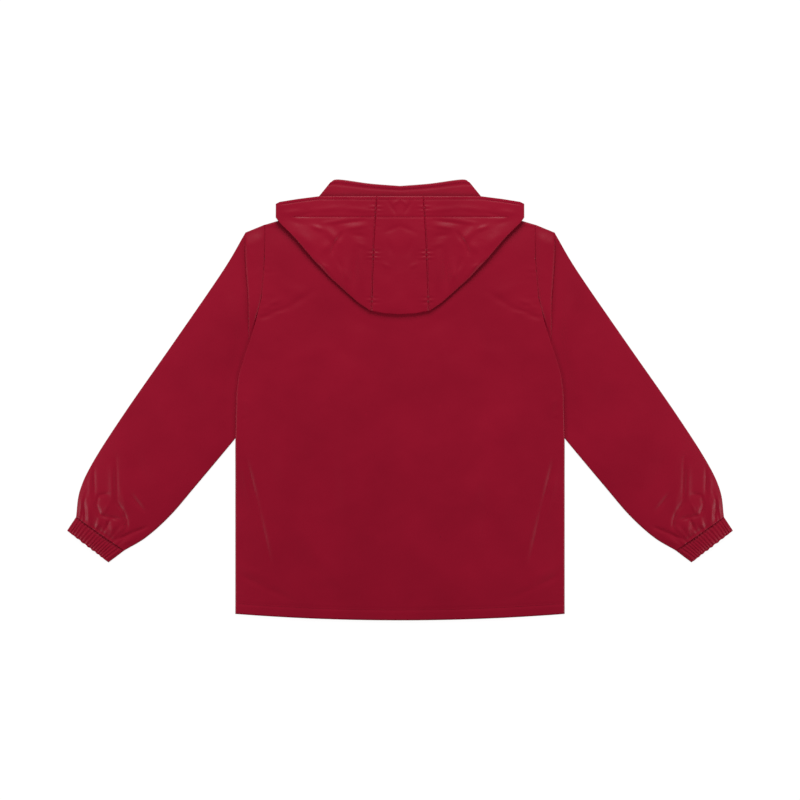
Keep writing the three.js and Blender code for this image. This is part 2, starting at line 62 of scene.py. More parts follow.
MM = 0.001

# %% [markdown]
# ## The camera
# A garment laid flat is looked at from straight above. A long lens far away keeps the sleeves
# and the raised hood in their true proportions, as a pattern maker would draw them.

# %% Camera
VIEW_WIDTH = 1.3658          # metres of table across the picture
CAMERA_HEIGHT = 4.0
camera_data = bpy.data.cameras.new("camera")
camera_data.sensor_width = 36.0
camera_data.lens = camera_data.sensor_width * CAMERA_HEIGHT / VIEW_WIDTH
camera = bpy.data.objects.new("camera", camera_data)
camera.location = (0, 0, CAMERA_HEIGHT)
bpy.context.scene.collection.objects.link(camera)
bpy.context.scene.camera = camera
bpy.context.scene.view_settings.view_transform = "Standard"
print("lens", round(camera_data.lens, 1), "mm")

# %% [markdown]
# ## Small helpers for shapes
# A cut piece of cloth is a grid of points that runs across it and along it. All the sizes
# below are in millimetres, as on a paper pattern, and become metres when a mesh is made.

# %% Helpers: easing, tables and curves
def mix(a, b, t):
    return a + (b - a) * t


def smooth(start, end, value):
    t = np.clip((value - start) / (end - start), 0, 1)
    return t * t * (3 - 2 * t)


def fade(start, end, value):
    return 1 - smooth(start, end, value)


def read_table(rows, value):
    """Rows of (place, value), in rising order of place."""
    places = [row[0] for row in rows]
    return np.interp(value, places, [row[1] for row in rows])


def plan_curve(points, t):
    """A point at t, from 0 to 1 by length, on a smooth curve through the points."""
    points = np.array(points, float)
    padded = np.vstack([2 * points[0] - points[1], points, 2 * points[-1] - points[-2]])
    fine = []
    for p0, p1, p2, p3 in zip(padded, padded[1:], padded[2:], padded[3:]):
        for s in np.linspace(0, 1, 24, endpoint=False):
            fine.append(0.5 * (2 * p1 + (p2 - p0) * s + (2 * p0 - 5 * p1 + 4 * p2 - p3) * s ** 2
                               + (3 * p1 - p0 - 3 * p2 + p3) * s ** 3))
    fine = np.array(fine + [points[-1]])
    run = np.concatenate([[0], np.cumsum(np.linalg.norm(np.diff(fine, axis=0), axis=1))])
    t = np.asarray(t) * run[-1]
    return np.stack([np.interp(t, run, fine[:, 0]), np.interp(t, run, fine[:, 1])], axis=-1)


# %% Helpers: from a grid to a piece of cloth
CLOTH_SHELL = 0.5            # the thin shell that is modelled, millimetres
BODY = "jacket"


def grid_mesh(name, points, wrapped=False):
    """points has the shape rows x columns x 3, in millimetres."""
    rows, columns, _ = points.shape
    mesh = bpy.data.meshes.new(name)
    last = columns if wrapped else columns - 1
    faces = []
    for row in range(rows - 1):
        for column in range(last):
            right = (column + 1) % columns
            faces.append((row * columns + column, row * columns + right,
                          (row + 1) * columns + right, (row + 1) * columns + column))
    mesh.from_pydata((points.reshape(-1, 3) * MM).tolist(), [], faces)
    mesh.shade_smooth()
    piece = bpy.data.objects.new(name, mesh)
    bpy.context.scene.collection.objects.link(piece)
    return piece


def finish_cloth(piece, material, nodes):
    """Gives the sheet its thickness, its finish and its place on the body."""
    wall = piece.modifiers.new("wall", "SOLIDIFY")
    wall.thickness = CLOTH_SHELL * MM
    wall.offset = 0.0
    piece.data.materials.append(material)
    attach(piece, BODY)
    if nodes:
        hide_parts(*nodes)
    print(piece.name, len(piece.data.polygons), "faces")
    return piece


def mirror_points(points):
    flipped = points * np.array([-1, 1, 1])
    return flipped[:, ::-1]


# %% [markdown]
# ## The jacket's own sizes
# These repeat the frame's driving sizes: the outline of the body down its side, the neck, the
# shoulder, and how far air and the layers below lift the back.

# %% Sizes of the body
HEM_Y, HEM_RISE, CHEST_HALF = -376, 11, 281
SHOULDER_Y, ARMHOLE_TOP_X, NECK_X, NECK_Y = 299, 231, 160, 320
BACK_NECK_Y, FRONT_NECK_Y, ZIP_HALF, ZIP_TOP_Y = 312, 245, 6, 296
LAYER_2, LOFT, SLEEVE_LOFT, HOOD_LOFT, HUMP = 1.5, 3.6, 3.4, 3.4, 2.8
CLOTH = 1.2                  # thickness of the frame's walls
MID = CLOTH / 2

SIDE_BACK = [(-365, 281), (-78, 281), (-26, 280), (12, 279), (44, 275), (74, 266), (100, 257),
             (122, 250), (137, 245.7), (154, 241.7), (174, 236.5), (205, 234), (242, 231), (299, 231)]
SIDE_FRONT = [(-365, 281), (-78, 281), (-26, 249), (12, 250), (74, 250), (100, 249.5),
              (122, 248), (137, 245.6), (154, 241.6), (174, 236.5), (205, 234), (242, 231), (299, 231)]
EDGE_LIFT = [(-365, 0), (-125, 0), (-62, 2.2), (100, 2.4), (180, 2.4), (250, 1.6), (299, 0.2)]


def hem_y(x):
    return HEM_Y + HEM_RISE * (x / CHEST_HALF) ** 2


def neck_seam(x, centre_y):
    return mix(centre_y, NECK_Y, 1 - np.sqrt(np.clip(1 - (x / NECK_X) ** 2, 0, 1)))


def shoulder_y(x):
    return np.interp(np.abs(x), [NECK_X, ARMHOLE_TOP_X], [NECK_Y, SHOULDER_Y])


def top_y(x, centre_y):
    return np.where(np.abs(x) < NECK_X, neck_seam(x, centre_y), shoulder_y(x))


def hump(x, y):
    """The cloth over the slider and its pull tab is pushed up by them."""
    return HUMP * smooth(205, 256, y) * fade(330, 352, y) * fade(12, 62, np.abs(x))


def back_under(x, y):
    """Underside of the back panel: pinned at its edges, lifted by air between them."""
    across = 1 - np.minimum(1, np.abs(x) / read_table(SIDE_BACK, y)) ** 6
    from_hem = 1 - np.exp(-np.maximum(0, y - hem_y(x)) / 55)
    below_shoulder = smooth(0, 62, top_y(x, BACK_NECK_Y) - y)
    puff = across * from_hem * mix(1, below_shoulder, smooth(95, NECK_X, np.abs(x)))
    over_slider = 0.55 * fade(30, 90, np.abs(x)) * smooth(180, 250, y)
    edge = read_table(EDGE_LIFT, y) * smooth(0, 40, shoulder_y(x) + 4 - y)
    return LAYER_2 + mix(edge, LOFT, puff) + over_slider


# %% [markdown]
# ## Creases, listed one by one
# Coated nylon keeps soft, uneven creases. Each one here is a row of a table: where it starts
# and ends, how wide it is, and how high (a ridge) or deep (a trough). Sums of such soft ridges
# look like real cloth, while regular noise alone looks like rubber.

# %% Crease tables
# start x, start y, end x, end y, half-width, height; a negative height is a trough
BACK_CREASES = [
    (-246, 137, -190, 158, 4.0, -1.5), (-190, 158, -150, 184, 6.0, -1.2),
    (-250, 150, -205, 170, 4.0, 1.0), (-236, 162, -208, 161, 2.2, -0.8),
    (-234, 146, -196, 149, 2.4, 0.7), (-205, 196, -150, 176, 9.0, 0.8),
    (-262, -105, -243, -180, 2.6, -1.4), (-243, -180, -221, -278, 2.6, -1.1),
    (-254, -100, -235, -176, 5.0, 1.0), (-235, -180, -212, -272, 6.0, 1.1),
    (-270, -110, -251, -190, 5.0, 0.6),
    (-274, -298, -236, -317, 4.5, -1.0), (-236, -317, -186, -340, 5.5, -0.9),
    (-272, -285, -228, -302, 7.0, 0.7),
    (-206, -60, -190, -160, 15, 1.3), (-158, -25, -146, -100, 15, 1.1),
    (-92, -20, -90, -200, 13, 1.2), (-168, -230, -96, -322, 14, 1.4),
    (-178, -120, -172, -235, 16, -1.0), (-122, -80, -112, -240, 14, -1.0),
    (-150, -175, -130, -290, 12, -0.8), (-60, 60, -110, 88, 14, -0.6),
    (-180, 70, -130, 92, 14, 1.0), (-70, 110, -75, 40, 9, 0.7),
    (-96, 150, -40, 118, 12, -0.7), (-270, -10, -262, -24, 3.0, -0.9),
    (-268, 2, -258, -8, 2.6, 0.7), (-271, -34, -260, -30, 2.4, -0.7),
    (-240, -20, -226, -70, 10, 0.6), (-216, 20, -236, 60, 12, 0.5),
]
# The same folds on the other side, and a few that only that side has.
RIGHT_ONLY = [
    (138, -122, 108, -200, 12, 1.2), (178, -8, 200, -100, 20, 1.3),
    (112, -112, 150, -34, 9, 0.9), (150, -150, 146, -260, 10, -0.9),
    (176, -150, 178, -232, 13, 0.9),
]


def crease_height(x, y, creases):
    """Soft ridges and troughs, tapered towards both of their ends."""
    height = np.zeros_like(x)
    for x0, y0, x1, y1, half_width, amount in creases:
        length2 = (x1 - x0) ** 2 + (y1 - y0) ** 2
        t = ((x - x0) * (x1 - x0) + (y - y0) * (y1 - y0)) / length2
        near = np.clip(t, 0, 1)
        away = np.hypot(x - mix(x0, x1, near), y - mix(y0, y1, near))
        taper = 0.35 + 0.65 * np.sin(np.pi * np.clip(near, 0.0, 1.0))
        height = height + amount * taper * np.exp(-(away / half_width) ** 2)
    return height


def flip_rows(rows):
    return [(-x0, y0, -x1, y1, width, amount) for x0, y0, x1, y1, width, amount in rows]


def soft_noise(x, y, size, seed):
    """Slow, shallow swells, the same on every run."""
    flat = [noise.noise(Vector((a / size, b / size, seed))) for a, b in zip(x.ravel(), y.ravel())]
    return np.array(flat).reshape(x.shape)


BROAD_BACK = [row for row in BACK_CREASES if row[4] > 8.5 and row[1] < 60]
FINE_BACK = [row for row in BACK_CREASES if row not in BROAD_BACK]
ALL_BACK = FINE_BACK + BROAD_BACK + flip_rows(FINE_BACK) + RIGHT_ONLY
print(len(ALL_BACK), "creases on the back")

# %% [markdown]
# ## The cloth's finish
# The jacket is smooth woven nylon with a thin coating: a deep crimson with a satin gloss, not
# a shine. Close up there is a very fine plain weave. The colour shifts a little where the
# coating is thinner, and tiny crinkles break up the reflections. All of it is made of nodes in
# object coordinates, so it needs no unwrapping and stays put from every side.

# %% Cloth material
def new_material(name):
    material = bpy.data.materials.new(name)
    material.use_nodes = True
    nodes = material.node_tree.nodes
    return material, nodes, material.node_tree.links, nodes["Principled BSDF"]


def cloth_material(name, colour, roughness=0.43, crinkle=0.16):
    material, nodes, links, shader = new_material(name)
    place = nodes.new("ShaderNodeTexCoord")
    cloudy = nodes.new("ShaderNodeTexNoise")
    cloudy.inputs["Scale"].default_value = 9.0
    cloudy.inputs["Detail"].default_value = 4.0
    ramp = nodes.new("ShaderNodeValToRGB")
    ramp.color_ramp.elements[0].position = 0.3
    ramp.color_ramp.elements[1].position = 0.72
    ramp.color_ramp.elements[0].color = (*[part * 0.93 for part in colour], 1)
    ramp.color_ramp.elements[1].color = (*[part * 1.06 for part in colour], 1)
    links.new(place.outputs["Object"], cloudy.inputs["Vector"])
    links.new(cloudy.outputs["Fac"], ramp.inputs["Fac"])
    links.new(ramp.outputs["Color"], shader.inputs["Base Color"])
    gloss = nodes.new("ShaderNodeMapRange")
    gloss.inputs["To Min"].default_value = roughness - 0.05
    gloss.inputs["To Max"].default_value = roughness + 0.07
    links.new(cloudy.outputs["Fac"], gloss.inputs["Value"])
    links.new(gloss.outputs["Result"], shader.inputs["Roughness"])
    crinkles = nodes.new("ShaderNodeTexNoise")
    crinkles.inputs["Scale"].default_value = 70.0
    crinkles.inputs["Detail"].default_value = 5.0
    crinkles.inputs["Distortion"].default_value = 0.8
    links.new(place.outputs["Object"], crinkles.inputs["Vector"])
    weave_out = plain_weave(nodes, links, place)
    soft = nodes.new("ShaderNodeBump")
    soft.inputs["Strength"].default_value = crinkle
    soft.inputs["Distance"].default_value = 0.0012
    links.new(crinkles.outputs["Fac"], soft.inputs["Height"])
    fine = nodes.new("ShaderNodeBump")
    fine.inputs["Strength"].default_value = 0.10
    fine.inputs["Distance"].default_value = 0.0001
    links.new(weave_out, fine.inputs["Height"])
    links.new(soft.outputs["Normal"], fine.inputs["Normal"])
    links.new(fine.outputs["Normal"], shader.inputs["Normal"])
    shader.inputs["Specular IOR Level"].default_value = 0.15
    shader.inputs["Sheen Weight"].default_value = 0.01
    shader.inputs["Sheen Roughness"].default_value = 0.4
    return material


def plain_weave(nodes, links, place):
    """Over and under: two fine wave patterns at right angles, multiplied."""
    threads_per_metre = 2600
    waves = []
    for direction in ("X", "Y"):
        wave = nodes.new("ShaderNodeTexWave")
        wave.bands_direction = direction
        wave.inputs["Scale"].default_value = threads_per_metre / 20
        links.new(place.outputs["Object"], wave.inputs["Vector"])
        waves.append(wave)
    both = nodes.new("ShaderNodeMath")
    both.operation = "MULTIPLY"
    links.new(waves[0].outputs["Fac"], both.inputs[0])
    links.new(waves[1].outputs["Fac"], both.inputs[1])
    return both.outputs["Value"]


CRIMSON = (0.247, 0.0013, 0.0165)
shell_cloth = cloth_material("shell_cloth", CRIMSON)
# The hood's copy of the same cloth is 2 % lighter: a painted highlight for the brighter sheen on the hood,
# not a different cloth.
hood_cloth = cloth_material("hood_cloth", tuple(part * 1.02 for part in CRIMSON), crinkle=0.22)
# The cuffs' copy of the same cloth is 6 % darker: painted shade for the gathered casing, which is the
# sleeve's own cloth turned in.
cuff_cloth = cloth_material("cuff_cloth", tuple(part * 0.94 for part in CRIMSON), crinkle=0.3)
thread = cloth_material("thread", tuple(part * 0.72 for part in CRIMSON), roughness=0.6)

# %% [markdown]
# ## The back panel
# The largest piece, cut in one from hem to neck. It lies on the two fronts with a little air
# between. A fine grid carries the creases, the puckers along the armholes and the groove of
# the hem's stitching. The rows follow the hem's curve, so the hem's fold runs with the edge.

# %% Back panel
HEM_DEPTH = 18               # the turned hem
quality = 1.0


def steps(count):
    return np.linspace(0, 1, int(count * quality) + 1)


def body_plan(side_rows, u, side_y, first, centre_y, gap):
    x = mix(first, read_table(side_rows, side_y) - gap, u)
    top = top_y(mix(first, ARMHOLE_TOP_X, u), centre_y) - gap
    v = (side_y + 365) / (SHOULDER_Y + 365)
    return x, mix(hem_y(x), top, v)


def seam_puckers(x, y, away, spacing, depth, reach, seed):
    """Small ripples that run off a seam and die out within `reach`."""
    ripple = np.sin(y / spacing * 2 * np.pi + 2.2 * soft_noise(x * 0 + seed, y, 14, seed))
    patchy = smooth(-0.1, 0.45, soft_noise(x * 0, y, 26, seed + 5))
    return depth * ripple * patchy * np.exp(-(away / reach) ** 2)


def hem_relief(y, edge_y):
    """The hem is two layers thick, pressed down in a groove where it is stitched."""
    up = y - edge_y
    return 0.5 * fade(HEM_DEPTH - 2, HEM_DEPTH + 2, up) - 0.75 * np.exp(-((up - HEM_DEPTH) / 1.6) ** 2)


def back_panel_points():
    u, side_y = np.meshgrid(np.linspace(-1, 1, int(200 * quality) + 1), mix(-365, SHOULDER_Y, steps(220)))
    x, y = body_plan(SIDE_BACK, np.abs(u), side_y, 0, BACK_NECK_Y, 0.05)
    x = x * np.sign(u)
    z = back_under(x, y) + MID
    edge = read_table(SIDE_BACK, y) - np.abs(x)
    inside = smooth(0, 18, edge) * smooth(0, 14, top_y(x, BACK_NECK_Y) - y)
    z = z + crease_height(x, y, ALL_BACK) * inside
    z = z + 0.7 * soft_noise(x, y, 62, 3.1) * inside + 0.25 * soft_noise(x, y, 21, 8.4) * inside
    z = z + seam_puckers(x, y, edge, 11, 0.45, 16, 2.0) * smooth(90, 150, y)
    z = z + seam_puckers(x, y, edge, 9, 0.40, 12, 6.0) * fade(-110, -60, y)
    return np.stack([x, y, np.maximum(z + hem_relief(y, hem_y(x)), LAYER_2 + 0.25)], axis=-1)


back = finish_cloth(grid_mesh("back_panel", back_panel_points()), shell_cloth, ["back"])

# %% [markdown]
# ## The two fronts
# They lie face down on the table under the back, so they are plain. Only the cloth beside the
# zip's slider is lifted a little, where the slider and its pull tab push it up.

# %% Front panels
def front_panel_points():
    first = ZIP_HALF + 0.2
    u, side_y = np.meshgrid(steps(70), mix(-365, SHOULDER_Y, steps(150)))
    x, y = body_plan(SIDE_FRONT, u, side_y, first, FRONT_NECK_Y, 0.2)
    z = hump(x, y) + MID - 0.2 * soft_noise(x, y, 45, 5.5) * 0.5
    z = z + 0.12 * np.exp(-((y - hem_y(x) - HEM_DEPTH) / 1.6) ** 2)
    return np.stack([x, y, z], axis=-1)


fronts = front_panel_points()
for name, points in (("right", fronts), ("left", mirror_points(fronts))):
    panel = grid_mesh("front_panel_" + name, points)
    finish_cloth(panel, shell_cloth, ["front_" + name])

# %% [markdown]
# ## The sleeves
# A sleeve is one piece sewn into a tube. Pressed flat it has an outer and an inner fold, a
# layer on the table and a layer on top. Where the arm is swung down, the cap can't lie flat:
# it stands up in a ridge beside the armhole and folds back over the arm, which starts again
# from under that fold. The rows below really run back under it, as the cloth does.

# %% Sleeve outline
ARMHOLE = [(231, 299), (231.2, 242), (236.7, 174), (246, 136), (250.6, 105), (250.6, 40), (250.6, -24)]
CAP_FOLD = [(264, 285.5), (264, 240), (259.5, 174), (258.5, 125), (257, 95), (255, 35), (252.5, -26.5)]
OUTER_EDGE = [(264.5, 284), (302, 220.5), (384, 101), (467, -18), (522, -103), (546, -154), (552.8, -200)]
INNER_EDGE = [(252.5, -28), (283.2, -68), (350, -148), (392, -197), (433, -234), (470.8, -256.8)]
SEAM_LIFT = [(-30, 0), (128, 0), (150, 1.6), (190, 2.2), (250, 1.5), (299, 0)]

# Creases on the right sleeve, as in the table for the back.
SLEEVE_CREASES = [
    (523, -104, 521, -168, 3.0, -1.6), (529, -112, 528, -165, 4.0, 1.0),
    (485, -100, 483, -174, 3.6, -1.7), (483, -174, 471, -192, 3.2, -1.9),
    (471, -192, 466, -206, 2.8, -2.2), (466, -206, 466, -218, 2.8, -1.8),
    (491, -112, 490, -170, 5.0, 1.4), (474, -150, 466, -186, 5.5, 1.1),
    (458, -163, 438, -188, 4.0, -1.6), (452, -158, 433, -182, 4.5, 0.8),
    (497, -160, 514, -163, 3.0, -1.8), (514, -163, 518, -180, 3.0, -1.9),
    (518, -180, 511, -196, 3.0, -2.0), (511, -196, 496, -200, 3.0, -2.0),
    (496, -200, 479, -203, 3.0, -1.9), (502, -181, 496, -184, 9.0, 1.6),
    (538, -172, 537, -206, 2.8, -1.8), (544, -170, 545, -196, 3.2, 0.9),
    (531, -184, 530, -210, 4.0, 1.3), (495, -205, 501, -219, 2.8, -2.0),
    (487, -210, 492, -224, 4.0, 1.4), (510, -206, 516, -218, 4.0, 1.5),
    (432, -217, 460, -228, 3.0, -1.6), (460, -228, 482, -238, 3.0, -1.9),
    (452, -236, 474, -246, 5.0, 1.1), (470, -216, 478, -226, 4.0, 1.2),
    (525, -214, 503, -229, 3.4, -1.7), (503, -229, 487, -240, 3.2, -1.8),
    (400, -10, 356, -96, 22, 0.8), (440, -60, 410, -150, 20, 0.9),
    (330, 120, 300, 20, 16, 0.7), (296, 196, 284, 96, 12, 0.9),
    (370, 40, 320, -60, 18, -0.6), (480, -70, 452, -130, 16, 0.8),
    (455, -100, 430, -150, 12, -0.7),
]


def arm_plan(u, v):
    top, cuff_a, cuff_b = plan_curve(CAP_FOLD, u), np.array(OUTER_EDGE[-1]), np.array(INNER_EDGE[-1])
    cuff = mix(cuff_a, cuff_b, u[..., None])
    sides = mix(plan_curve(OUTER_EDGE, v), plan_curve(INNER_EDGE, v), u[..., None])
    ends = mix(top, cuff, v[..., None])
    top_line = mix(np.array(CAP_FOLD[0]), np.array(CAP_FOLD[-1]), u[..., None])
    return sides + ends - mix(top_line, cuff, v[..., None])


def puff(u):
    return np.clip(4 * u * (1 - u), 0, 1) ** 0.6


TUCK = 5.0                   # how far the arm starts back under the cap's fold


def sleeve_top(u, cap_v, arm_v):
    """Rows of the top layer: the cap's ridge, then the arm from under it down to the cuff."""
    uu, vv = np.meshgrid(u, cap_v)
    ridge = fade(0.42, 0.6, uu) * smooth(0, 0.08, uu)
    seam = plan_curve(ARMHOLE, uu)
    plan = mix(seam, plan_curve(CAP_FOLD, uu), vv[..., None])
    lift = mix(read_table(SEAM_LIFT, seam[..., 1]), LOFT * ridge, np.sin(vv * np.pi / 2))
    roll = 1.3 * ridge * np.sin(np.pi * np.clip(vv, 0, 1) ** 0.8)
    groove = -0.35 * np.exp(-(vv / 0.06) ** 2) * ridge
    ripple = 0.3 * ridge * soft_noise(plan[..., 0], plan[..., 1], 13, 4.0) * np.sin(np.pi * vv)
    cap_z = LAYER_2 + MID + lift + roll + groove + ripple
    drop = smooth(0.90, 1.0, vv) * ridge * 1.5
    cap = np.concatenate([plan, (cap_z - drop)[..., None]], axis=-1)
    uu, vv = np.meshgrid(u, arm_v)
    plan = arm_plan(uu, vv)
    under = fade(0.45, 0.6, uu) * smooth(0.0, 0.05, uu) * fade(0.0, 0.02, vv)
    plan = plan - np.stack([TUCK * under, 0 * under], axis=-1)
    x, y = plan[..., 0], plan[..., 1]
    beside = smooth(0, 34, x - read_table(SIDE_BACK, y))
    valley = fade(0.02, 0.14, vv) * fade(0.62, 0.8, uu)
    open_air = puff(uu) * smooth(0, 0.05, vv) * (1 - 0.75 * valley) * beside
    full = 1 + 0.55 * smooth(0.55, 0.85, vv) * fade(0.93, 1.0, vv)
    lift = SLEEVE_LOFT * full * open_air
    inside = smooth(0.0, 0.1, uu) * fade(0.9, 1.0, uu) * smooth(0.03, 0.1, vv)
    relief = crease_height(x, y, SLEEVE_CREASES) * inside
    relief = relief + 0.8 * soft_noise(x, y, 58, 11.0) * inside + 0.25 * soft_noise(x, y, 20, 2.2) * inside
    near_cuff = smooth(0.84, 0.98, vv)
    relief = relief + 0.9 * near_cuff * inside * soft_noise(uu * 100, vv * 30, 5, 7.7)
    low = LAYER_2 + MID + np.maximum(lift + relief, 0.0)
    arm = np.concatenate([plan, low[..., None]], axis=-1)
    return np.vstack([cap, arm])


def close_tube(top, under_z):
    """A ring for each row: the top from edge to edge, and back along the table."""
    first, last = top[:, :1], top[:, -1:]
    across = (last - first)[..., :2]
    out = across / np.maximum(np.linalg.norm(across, axis=-1, keepdims=True), 1e-6)
    inset = np.concatenate([out * 0.9, 0 * out[..., :1]], axis=-1)
    top = top.copy()
    top[:, :1] += inset
    top[:, -1:] -= inset
    bottom = top[:, ::-1].copy()
    bottom[..., 2] = under_z
    middle = (LAYER_2 + CLOTH) / 2
    end = np.concatenate([last[..., :2], np.full_like(last[..., :1], middle)], axis=-1)
    start = np.concatenate([first[..., :2], np.full_like(first[..., :1], middle)], axis=-1)
    return np.concatenate([top, end, bottom, start], axis=1)


arm_rows = np.concatenate([[0, 0.004, 0.01, 0.02], np.linspace(0.03, 1, int(190 * quality))])
u_rows = (1 - np.cos(np.pi * steps(84))) / 2
sleeve_points = close_tube(sleeve_top(mix(steps(84), u_rows, 0.5), steps(26), arm_rows), MID - 0.2)
for name, points in (("right", sleeve_points), ("left", mirror_points(sleeve_points))):
    sleeve = grid_mesh("sleeve_tube_" + name, points, wrapped=True)
    finish_cloth(sleeve, shell_cloth, ["sleeve_" + name])

# %% [markdown]
# ## The gathered cuffs
# A strip of elastic is threaded through the turned end of each sleeve. Relaxed, it draws the
# cloth into narrow, uneven pleats that run across the casing and fade a little at its edges.

# %% Cuffs
CUFF_START = np.array([(552.9, -200.1), (470.9, -256.9)])
CUFF_END = np.array([(568, -223), (497.5, -277)])
PLEATS = 17


def cuff_points():
    u, v = np.meshgrid(steps(150), steps(30))
    plan = mix(mix(CUFF_START[0], CUFF_START[1], u[..., None]), mix(CUFF_END[0], CUFF_END[1], u[..., None]),
               v[..., None])
    wander = 0.9 * soft_noise(u * 60, v * 12, 8, 1.7)
    phase = 2 * np.pi * PLEATS * (u + 0.02 * np.sin(9 * u) + 0.012 * wander)
    strength = 0.55 + 0.75 * np.abs(soft_noise(u * 60, v * 9 + 40, 7, 6.1))
    pleat = strength * (0.5 + 0.5 * np.sin(phase)) * (0.75 + 0.25 * np.sin(np.pi * v))
    stitched = 0.5 * (np.exp(-((v - 0.07) / 0.05) ** 2) + 0.8 * np.exp(-((v - 0.9) / 0.04) ** 2))
    rounded = puff(u) * (1.2 + 1.0 * np.sin(np.pi * v))
    along = (CUFF_END - CUFF_START).mean(axis=0)
    along = along / np.linalg.norm(along)
    wave = (0.8 * np.sin(phase * 0.5 + 1.0) + 0.6 * wander) * smooth(0.8, 1, v) * np.sin(np.pi * u)
    plan = plan + along * wave[..., None] * 0.8
    z = LAYER_2 + MID + rounded + 1.5 * pleat * smooth(0, 0.05, u) * fade(0.95, 1, u) - stitched * puff(u)
    return np.concatenate([plan, np.maximum(z, LAYER_2 + 0.4)[..., None]], axis=-1)


cuff_tube = close_tube(cuff_points(), MID - 0.2)
for name, points in (("right", cuff_tube), ("left", mirror_points(cuff_tube))):
    cuff = grid_mesh("cuff_casing_" + name, points, wrapped=True)
    finish_cloth(cuff, cuff_cloth, ["cuff_" + name])

# %% [markdown]
# ## The stand collar
# One band round the neck. Laid flat it turns over at both sides: its back half stands above
# the hood in the view, and its front halves lie beneath, on either side of the zip.

# %% Collar
COLLAR_FOLD_TOP = (118.7, 371.4)
COLLAR_BACK_TOP = [(0, 365), (50, 369), (105, 376.2), COLLAR_FOLD_TOP]
COLLAR_FRONT_TOP = [(6.3, 309), (60, 324), COLLAR_FOLD_TOP]


def collar_plan(w, v, top, centre_y, first):
    x = mix(first, NECK_X, w)
    seam = np.stack([x, neck_seam(x, centre_y) + 0.3], axis=-1)
    return mix(seam, plan_curve(top, w), v[..., None])


def collar_points():
    w, v = np.meshgrid((1 - np.cos(np.pi * steps(44))) / 2, steps(34))
    front = collar_plan(w, v, COLLAR_FRONT_TOP, FRONT_NECK_Y, ZIP_HALF + 0.2)
    front_z = hump(front[..., 0], front[..., 1]) + MID
    back = collar_plan(w, v, COLLAR_BACK_TOP, BACK_NECK_Y, 0)
    x, y = back[..., 0], back[..., 1]
    back_z = mix(back_under(x, np.minimum(y, BACK_NECK_Y)), LAYER_2 + 2.2 * (1 - w), v * 0.8) + MID
    back_z = back_z + 0.5 * soft_noise(x, y, 24, 9.1) * np.sin(np.pi * w)
    back_z = back_z - 0.5 * np.exp(-((v - 0.86) / 0.035) ** 2) + 0.4 * smooth(0.86, 0.95, v)
    under = np.concatenate([front, front_z[..., None]], axis=-1)
    over = np.concatenate([back, back_z[..., None]], axis=-1)
    right = np.concatenate([under[:, :-1], over[:, ::-1]], axis=1)
    return np.concatenate([right[:, :-1], mirror_points(right)], axis=1)


finish_cloth(grid_mesh("stand_collar", collar_points()), shell_cloth, ["collar"])

# %% [markdown]
# ## The hood
# Two side panels and a strip between them. Folded down, the hood lies on the back in two
# layers: the outer one runs from the face edge to the round lower edge, turns over in a soft
# roll and goes back underneath to the neck seam. The strip's seams pucker, because a curved
# edge is eased onto a straight one, and the wide hem of the face edge holds a cord's tunnel.

# %% Hood
CORNER_X = 211.5
FACE_EDGE = [(0, 347), (141, 347), (175, 342.5), (205, 337.5), (CORNER_X, 334)]
LOWER_EDGE = [(0, 145.5), (24, 147), (47, 152), (68, 166), (87, 182), (117, 208), (148, 240),
              (178, 275), (206, 303), (CORNER_X, 311)]
NECK_EDGE = [(0, 313), (NECK_X, 321), (CORNER_X, 334)]
STRIP_HALF = [(145, 48), (164, 48), (272, 44), (347, 39.3)]
FOLD_ROLL, CORNER_RISE, TUNNEL_Y = 1.6, 4.5, 312
STRIP_MEAN_HALF = 44
FACE_HEM = 5                 # from the face edge to its row of stitches

# Creases on the hood's right half.
HOOD_CREASES = [
    (99, 284, 113, 262, 3.0, -2.0), (113, 262, 116, 248, 2.6, -1.2),
    (128, 293, 104, 268, 7.0, 1.9), (150, 296, 132, 290, 4.0, 1.2), (118, 268, 134, 252, 7.0, 1.3),
    (77, 250, 77, 186, 5.0, -1.6), (66, 252, 62, 190, 5.0, 1.4), (90, 236, 92, 196, 6.0, 1.1),
    (150, 232, 122, 226, 3.5, 0.9), (104, 240, 96, 214, 4.0, -0.9), (140, 236, 118, 214, 7.0, 1.0),
    (60, 306, 104, 300, 3.0, -1.0), (60, 297, 92, 292, 3.5, 0.9), (96, 306, 132, 301, 3.5, 0.9),
    (52, 322, 96, 326, 4.5, 0.8), (100, 328, 150, 323, 4.5, 0.7), (150, 318, 178, 312, 3.0, -0.7),
    (170, 322, 198, 318, 4.5, 0.7), (165, 300, 188, 306, 5.0, -0.6), (58, 278, 84, 282, 4.0, -0.8),
    (56, 262, 76, 268, 5.0, 0.8), (104, 226, 84, 204, 6.0, 0.9), (172, 286, 150, 262, 8.0, 0.9),
]
STRIP_CREASES = [
    (-22, 338, -8, 318, 3.0, -0.9), (22, 338, 8, 318, 3.0, -0.9), (-14, 332, 0, 342, 3.0, 0.7),
    (14, 332, 0, 342, 3.0, 0.7), (-26, 286, 0, 296, 4.0, -0.8), (26, 286, 0, 296, 4.0, -0.8),
    (-20, 268, -12, 246, 5.0, -0.7), (20, 268, 12, 246, 5.0, -0.7), (0, 262, 0, 214, 11, -0.6),
    (-22, 214, -20, 170, 12, 0.9), (20, 214, 22, 172, 12, 0.9), (0, 186, 0, 158, 9, 0.8),
    (-30, 232, -16, 226, 3.5, 0.7), (30, 232, 16, 226, 3.5, 0.7),
]


def hood_under(x, y):
    rise = CORNER_RISE * smooth(105, CORNER_X, np.abs(x))
    return back_under(x, np.minimum(y, BACK_NECK_Y)) + CLOTH + 0.6 + rise


